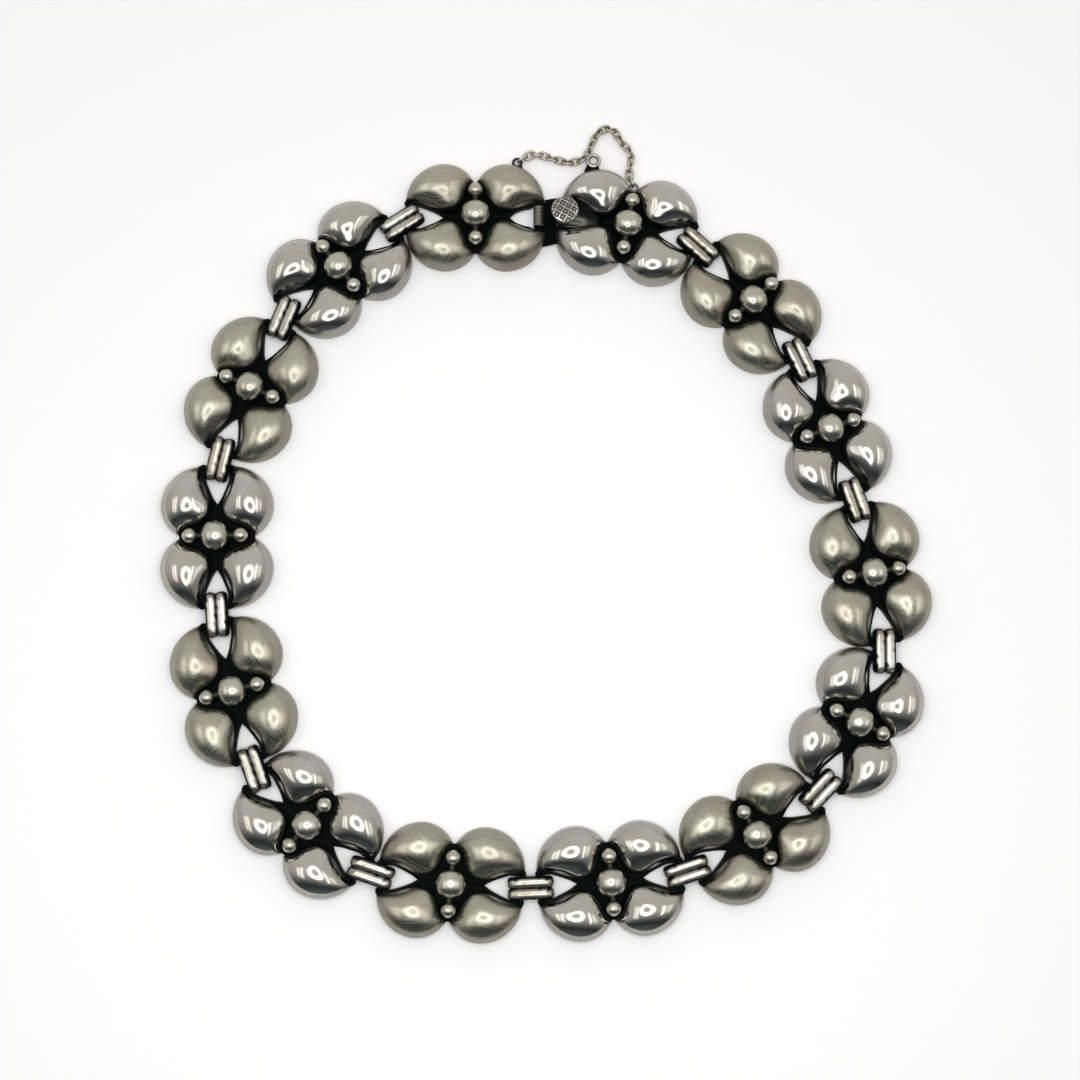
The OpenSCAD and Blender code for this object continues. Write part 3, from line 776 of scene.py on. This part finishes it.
# Thumb piece. A spring leaf folds back over the tongue inside the box, and its post carries
# a round thumb plate, slightly domed and cut with a grid of square cells. Pressing it down
# frees the tongue. The bands between the cells are rubbed bright.
leaf_hinge, leaf_rise, leaf_length, leaf_t = np.array([-7.9, 0, 1.35]), 7.5, 4.6, 0.34
post_x, post_r, roll_r, thumb_z, thumb_r = -4.25, 0.55, 0.3, 1.8, 2.5
cell_pitch, cell_shift, cell_lean = 1.18, (-0.35, 0.22), -16.5
cell_depth, groove_depth, thumb_slope = 0.1, 0.06, 0.09


def raised_leaf(points):
    """Points of the leaf's own frame, tilted up by the leaf's rise about its roll and laid in the
    first link."""
    c, s = np.cos(np.radians(leaf_rise)), np.sin(np.radians(leaf_rise))
    p = np.asarray(points, float)
    x, z = c * p[..., 0] + s * p[..., 2], c * p[..., 2] - s * p[..., 0]
    return laid_at(np.stack([x, p[..., 1], z], -1) + leaf_hinge, 1)


def thumb_grid():
    """A coin turned about Z: flat below, with a rounded rim, and a low dome on top that carries
    two crossed sets of narrow raised bands, and between them low squares, each in a groove."""
    crown = np.linspace(0.93, 0, 100)
    across = np.concatenate([[0, 0.6, 0.94, 1, 1, 0.985, 0.95], crown]) * thumb_r
    high = np.concatenate([[0, 0, 0, 0.15, 0.62, 0.72, 0.77], 0.79 + 0.34 * (1 - crown ** 2)])
    turn = np.radians(np.linspace(0, 360, 193))[None]
    x, y = across[:, None] * np.cos(turn), across[:, None] * np.sin(turn)
    c, s = np.cos(np.radians(cell_lean)), np.sin(np.radians(cell_lean))
    cell, sunk = np.ones_like(x), np.ones_like(x)
    for run in (x * c + y * s - cell_shift[0], y * c - x * s - cell_shift[1]):
        gap = np.abs((run / cell_pitch + 0.5) % 1 - 0.5) * cell_pitch
        cell = np.minimum(cell, climb(gap, 0.1, 0.16))
        sunk = np.minimum(sunk, climb(gap, 0.26, 0.34))
    top = np.zeros_like(x)
    top[7:] = climb(across[7:, None] / thumb_r, 0.94, 0.9)
    z = high[:, None] - (cell_depth * cell - groove_depth * sunk) * top
    z[4:] += thumb_slope * x[4:]
    dark = np.where(top > 0, (0.62 * cell - 0.24 * sunk) * top + 0.14, 0.5)
    return np.stack([post_x + x, y, thumb_z + z], -1), dark


plate_points, plate_dark = thumb_grid()
leaf_edge = [
    raised_leaf([(x, side * tongue_half_width, leaf_t / 2) for side in (1, -1)])
    for x in (0.0, -leaf_length)]
roll = np.linspace((0, -tongue_half_width, 0), (0, tongue_half_width, 0), 6)
post = np.linspace((post_x, 0, 0), (post_x, 0, thumb_z + 0.1), 6)
thumb = skin("clasp_thumb_piece", [
    {"points": raised_leaf(plate_points), "dark": plate_dark},
    {"points": raised_leaf(tube_grid(post, post_r)), "dark": 0.7},
    {"points": raised_leaf(tube_grid(roll, roll_r)), "dark": 0.6},
    {"points": slab(leaf_edge[0], leaf_edge[1], leaf_t), "dark": 0.6}], [polished])
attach(thumb, "thumb_leaf")
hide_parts("clasp_thumb")


# Chain eyes. Two small rings of wire on short necks take the ends of the safety chain, on the
# edge of the last link and in the first link's waist, and a bright flat ring stands on a broad
# neck beside the clasp.
eye_r, eye_wire_r, eye_z = 0.72, 0.21, 0.85
waist_eye, edge_eye, ring_eye = (-0.1, 7.75), (7.76, 10.45), (-8.35, 11.0)
ring_eye_r, ring_eye_hole_r, ring_eye_z, ring_eye_half_t = 1.38, 0.68, 1.775, 0.325


def spun(middle, across, high, count):
    """A section turned about Z: each of its points keeps its height and its distance from the
    middle."""
    turn = np.radians(np.linspace(0, 360, count))[:, None]
    return np.stack([
        middle[0] + across * np.cos(turn), middle[1] + across * np.sin(turn), high + 0 * turn], -1)


def wire_eye(middle, radius, thick):
    """A circle of wire lying flat: a small circle turned about Z."""
    around = np.radians(np.linspace(0, 360, 17))
    across = radius + thick * np.cos(around)
    return spun(middle, across, eye_z + thick * np.sin(around), 49)


def washer_grid():
    """A flat ring with rounded edges: a rounded rectangle turned about Z."""
    wide, thick = squared(np.linspace(0, 2 * np.pi, 25), 0.85, 0.8)
    across = (ring_eye_r + ring_eye_hole_r) / 2 + (ring_eye_r - ring_eye_hole_r) / 2 * wide
    return spun(ring_eye, across, ring_eye_z + ring_eye_half_t * thick, 65)


def neck_grid(eye, first_y, last_y, width, low, high):
    """A short block between an eye and its link, from one distance below the eye's middle to
    another, narrower towards the eye, with rounded edges."""
    wide, thick = squared(np.linspace(0, 2 * np.pi, 25), 0.4, 0.4)
    y = eye[1] + np.concatenate([[first_y], np.linspace(first_y, last_y, 8), [last_y]])[:, None]
    grow = np.concatenate([[0], np.linspace(1.12, 0.85, 8), [0]])[:, None]
    return np.stack([
        eye[0] + width / 2 * grow * wide, y + 0 * wide,
        (low + high) / 2 + (high - low) / 2 * np.minimum(grow, 1) * thick], -1)


# Painted shade: the ring is bright on top and dark on its outer and inner walls and underneath.
washer_wall_shade = np.interp(np.arange(25), [0, 2, 4, 7, 9, 24], [1, 0.8, 0, 0, 1, 1])
ring_neck = neck_grid((ring_eye[0] + 0.1, ring_eye[1]), -2.3, -0.85, 2.6, 1.4, 1.9)
first_eyes = skin("link_01_eyes", [moved(grid, 1) for grid in (
    {"points": washer_grid(), "dark": washer_wall_shade},
    {"points": ring_neck, "dark": 1.05},
    {"points": wire_eye(waist_eye, eye_r, eye_wire_r), "dark": 0.5},
    {"points": neck_grid(waist_eye, -1.6, -0.65, 0.8, 0.64, 1.06), "dark": 0.8})], [worn])
last_eye = skin("link_14_eye", [moved(grid, 14) for grid in (
    {"points": wire_eye(edge_eye, eye_r + 0.03, eye_wire_r + 0.04), "dark": 0.72},
    {"points": neck_grid(edge_eye, -1.3, -0.55, 2.0, 0.6, 1.06), "dark": 1.0})], [polished])
for eyes in (first_eyes, last_eye):
    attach(eyes, "necklace")


# Safety chain. Twenty-three small oval links of round wire run in loose bends from the last
# link's eye, under the rim of the bright ring, to the first link's waist. They are soft bright
# silver, painted darker towards each link's ends, as shade where link passes through link.
chain_turns = [
    (-2.6, 71.3), (-0.9, 72.0), (0.9, 71.5), (2.9, 70.9), (4.8, 70.4), (6.6, 70.4), (8.1, 71.1),
    (9.1, 72.6), (9.8, 74.6), (10.7, 76.2), (12.0, 77.1), (13.5, 76.9), (14.4, 75.8),
    (15.0, 74.4), (16.1, 73.4), (16.9, 72.4), (17.0, 71.2), (16.5, 69.5), (16.5, 67.7)]
chain_wire_r, chain_pitch, chain_bend_r, chain_half = 0.215, 1.5, 0.62, 0.39
chain_low_z, chain_fall = 0.64, 0.05


def chain_joints():
    """Where neighbouring chain links meet: equal steps along the listed route from eye to eye,
    each end of it set a little past the eye's middle."""
    start = laid_at((*edge_eye, 0), 14)[:2] * 1000 - ring_shift
    finish = laid_at((*waist_eye, 0), 1)[:2] * 1000 - ring_shift
    turns = np.array(chain_turns)
    reach = eye_r - eye_wire_r - 0.03
    first = start + reach * (turns[0] - start) / np.linalg.norm(turns[0] - start)
    last = finish + reach * (turns[-1] - finish) / np.linalg.norm(turns[-1] - finish)
    route = np.concatenate([[first], turns, [last]])
    run = np.concatenate([[0], np.cumsum(np.linalg.norm(np.diff(route, axis=0), axis=1))])
    count = 2 * int(run[-1] / chain_pitch / 2) + 1
    at = np.linspace(0, run[-1], count + 1)
    return np.column_stack([np.interp(at, run, line) for line in route.T]) + ring_shift


def oval_grid():
    """One chain link: a small circle carried round a flat stadium."""
    around = np.linspace(0, 2 * np.pi, 13)
    out, across = chain_wire_r * np.cos(around), chain_wire_r * np.sin(around)
    return carried(stadium(chain_half, chain_bend_r, 15, 0), out, across)


joints, oval = chain_joints(), oval_grid()
# Painted shade: each oval darkens towards its ends, where it passes through its neighbours.
oval_end_shade = 0.1 + 0.45 * climb(np.abs(oval[..., 0]), 0.7, 1.0)
chain_grids = []
for k in range(len(joints) - 1):
    from_end = min(k, len(joints) - 2 - k)
    lean = np.radians(k % 2 * 90 + min(45, 15 * from_end))
    way = (joints[k + 1] - joints[k]) / np.linalg.norm(joints[k + 1] - joints[k])
    middle = (joints[k + 1] + joints[k]) / 2
    side = oval[..., 1] * np.cos(lean) - oval[..., 2] * np.sin(lean)
    rise = oval[..., 1] * np.sin(lean) + oval[..., 2] * np.cos(lean)
    place = (*middle, max(chain_low_z, eye_z - chain_fall * from_end))
    leaned = np.stack([oval[..., 0], side, rise], -1)
    chain_grids.append({"points": set_along(leaned, way, place), "dark": oval_end_shade})
chain_silver = silver(
    "chain_silver", bare=(0.52, 0.49, 0.4), warm=(0.42, 0.34, 0.26),
    film=(0.05, 0.042, 0.03), warmth=0.8, bare_roughness=0.3, film_roughness=0.5,
    across=6.0, along=2.0, depth=0.01, stroke_light=0.2)
chain = skin("safety_chain_links", chain_grids, [chain_silver])
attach(chain, "necklace")
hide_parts("safety_chain")


# Table. The choker lies on a smooth white board, far wider than the picture, a hair's breadth
# below it.
board_half, board_drop = 1.6, 0.00002


def table():
    """A flat square grid of points, all at one height."""
    run = np.linspace(-board_half, board_half, 9)
    x, y = np.meshgrid(run, run, indexing="ij")
    material = bpy.data.materials.new("white_board")
    material.use_nodes = True
    shader = material.node_tree.nodes["Principled BSDF"]
    shader.inputs["Base Color"].default_value = (0.955, 0.945, 0.955, 1)
    shader.inputs["Roughness"].default_value = 0.6
    shader.inputs["Specular IOR Level"].default_value = 0.2
    return skin("table", [{"points": np.stack([x, y, 0 * x - board_drop], -1)}], [material])


board = table()
if board.data.polygons[0].normal.z < 0:
    board.data.flip_normals()


# Camera and light. The camera looks almost straight down from 29 cm, through a ring lamp. A
# white room stands round the choker, dark towards the viewer, with two tall lamps on each side.
tilt, yaw, distance = np.radians(7.0), np.radians(-1.956), 0.290
sensor_width, photo_width, pixels_per_metre = 36.0, 1080, 5550
target = np.array([ring_shift[0], ring_shift[1], 0]) * 0.001
away = np.array([np.sin(yaw), -np.sin(tilt) * np.cos(yaw), np.cos(tilt) * np.cos(yaw)])
away /= np.linalg.norm(away)


def look_from(place, to, up=(0, 1, 0)):
    """The turn that makes an object at place face the point to, with up kept upwards, as a 3 by 3
    matrix of columns."""
    back = (place - to) / np.linalg.norm(place - to)
    right = np.cross(up, back)
    right /= np.linalg.norm(right)
    return np.column_stack([right, np.cross(back, right), back])


def put(thing, place, turn):
    """Sets an object's place and turn."""
    matrix = np.eye(4)
    matrix[:3, :3], matrix[:3, 3] = turn, place
    thing.matrix_world = Matrix(matrix.tolist())


bpy.context.scene.view_settings.view_transform = "Standard"
camera_data = bpy.data.cameras.new("camera")
camera_data.sensor_width = sensor_width
camera_data.lens = sensor_width * pixels_per_metre * distance / photo_width
camera_data.clip_start, camera_data.clip_end = 0.01, 10
camera = bpy.data.objects.new("camera", camera_data)
bpy.context.scene.collection.objects.link(camera)
eye = target + distance * away
put(camera, eye, look_from(eye, target))
bpy.context.scene.camera = camera

ring_data = bpy.data.lights.new("ring_lamp", "AREA")
ring_data.shape, ring_data.size, ring_data.energy = "DISK", 0.232, 0.5
ring_data.color = (0.97, 1.0, 0.99)
ring_data.use_nodes = True
tree = ring_data.node_tree
add, link = tree.nodes.new, tree.links.new
where, centred = add("ShaderNodeNewGeometry"), add("ShaderNodeVectorMath")
radius, band = add("ShaderNodeVectorMath"), add("ShaderNodeMapRange")
centred.operation = "SUBTRACT"
centred.inputs[1].default_value = (0.5, 0.5, 0)
radius.operation = "LENGTH"
span(band, "From", 0.24, 0.27)
link(where.outputs["Parametric"], centred.inputs[0])
link(centred.outputs[0], radius.inputs[0])
link(radius.outputs["Value"], band.inputs["Value"])
link(band.outputs["Result"], tree.nodes["Emission"].inputs["Strength"])
ring_lamp = bpy.data.objects.new("ring_lamp", ring_data)
bpy.context.scene.collection.objects.link(ring_lamp)
put(ring_lamp, eye + 0.005 * away, look_from(eye, target))
ring_lamp.visible_camera = False

world = bpy.data.worlds.new("room")
bpy.context.scene.world = world
world.use_nodes = True
tree = world.node_tree
add, link = tree.nodes.new, tree.links.new
background = tree.nodes["Background"]
direction = add("ShaderNodeTexCoord").outputs["Generated"]


def glow(toward, inner, outer, strength):
    """A round patch of light about a direction: full within the inner angle, nothing beyond the
    outer one, in degrees."""
    near, fade = add("ShaderNodeVectorMath"), add("ShaderNodeMapRange")
    near.operation = "DOT_PRODUCT"
    toward = np.asarray(toward, float)
    near.inputs[1].default_value = tuple(toward / np.linalg.norm(toward))
    link(direction, near.inputs[0])
    fade.interpolation_type = "SMOOTHSTEP"
    span(fade, "From", np.cos(np.radians(outer)), np.cos(np.radians(inner)))
    fade.inputs["To Max"].default_value = strength
    link(near.outputs["Value"], fade.inputs["Value"])
    return fade.outputs["Result"]


def joined(a, b, operation="ADD"):
    """Two values joined by one operation."""
    node = add("ShaderNodeMath")
    node.operation = operation
    for value, socket in ((a, node.inputs[0]), (b, node.inputs[1])):
        if isinstance(value, (int, float)):
            socket.default_value = value
        else:
            link(value, socket)
    return node.outputs[0]


def band_between(value, first, last, soft):
    """One where the value lies between two bounds, falling softly to nought outside them."""
    ends = []
    for bound, side in ((first, -1), (last, 1)):
        fade = add("ShaderNodeMapRange")
        fade.interpolation_type = "SMOOTHSTEP"
        span(fade, "From", bound + side * soft, bound - side * soft)
        link(value, fade.inputs["Value"])
        ends.append(fade.outputs["Result"])
    return joined(ends[0], ends[1], "MULTIPLY")


axes = add("ShaderNodeSeparateXYZ")
link(direction, axes.inputs[0])
wall = add("ShaderNodeMapRange")
wall.interpolation_type = "SMOOTHSTEP"
span(wall, "From", -0.8, 0.02)
span(wall, "To", 0.03, 0.68)
link(axes.outputs["Y"], wall.inputs["Value"])
room = joined(wall.outputs["Result"], glow((0, 0.8, 0.6), 15, 80, 0.2))
room = joined(room, glow((0, -1, 0), 5, 48, 0.12))
across = joined(axes.outputs["X"], axes.outputs["Z"], "DIVIDE")
along = joined(axes.outputs["Y"], axes.outputs["Z"], "DIVIDE")
tall = joined(band_between(along, -0.5, 0.34, 0.08), axes.outputs["Z"], "MULTIPLY")
lamp_panes = [(-1.16, -0.86, 2.1), (-0.75, -0.61, 2.9), (0.64, 0.84, 2.9), (1.02, 1.75, 1.5)]
for first, last, strength in lamp_panes:
    pane = joined(band_between(across, first, last, 0.05), tall, "MULTIPLY")
    room = joined(room, joined(pane, strength, "MULTIPLY"))
seen = add("ShaderNodeLightPath").outputs["Is Camera Ray"]
mixed = add("ShaderNodeMix")
link(seen, mixed.inputs["Factor"])
link(room, mixed.inputs["A"])
mixed.inputs["B"].default_value = 1.0
link(mixed.outputs["Result"], background.inputs["Strength"])
warmed, tint = add("ShaderNodeMapRange"), add("ShaderNodeMix")
span(warmed, "From", 0.03, 0.4)
link(wall.outputs["Result"], warmed.inputs["Value"])
tint.data_type = "RGBA"
tint.inputs["A"].default_value = (0.8, 0.97, 1.05, 1)
tint.inputs["B"].default_value = (1.0, 0.988, 0.965, 1)
link(joined(warmed.outputs["Result"], seen, "MAXIMUM"), tint.inputs["Factor"])
link(tint.outputs["Result"], background.inputs["Color"])
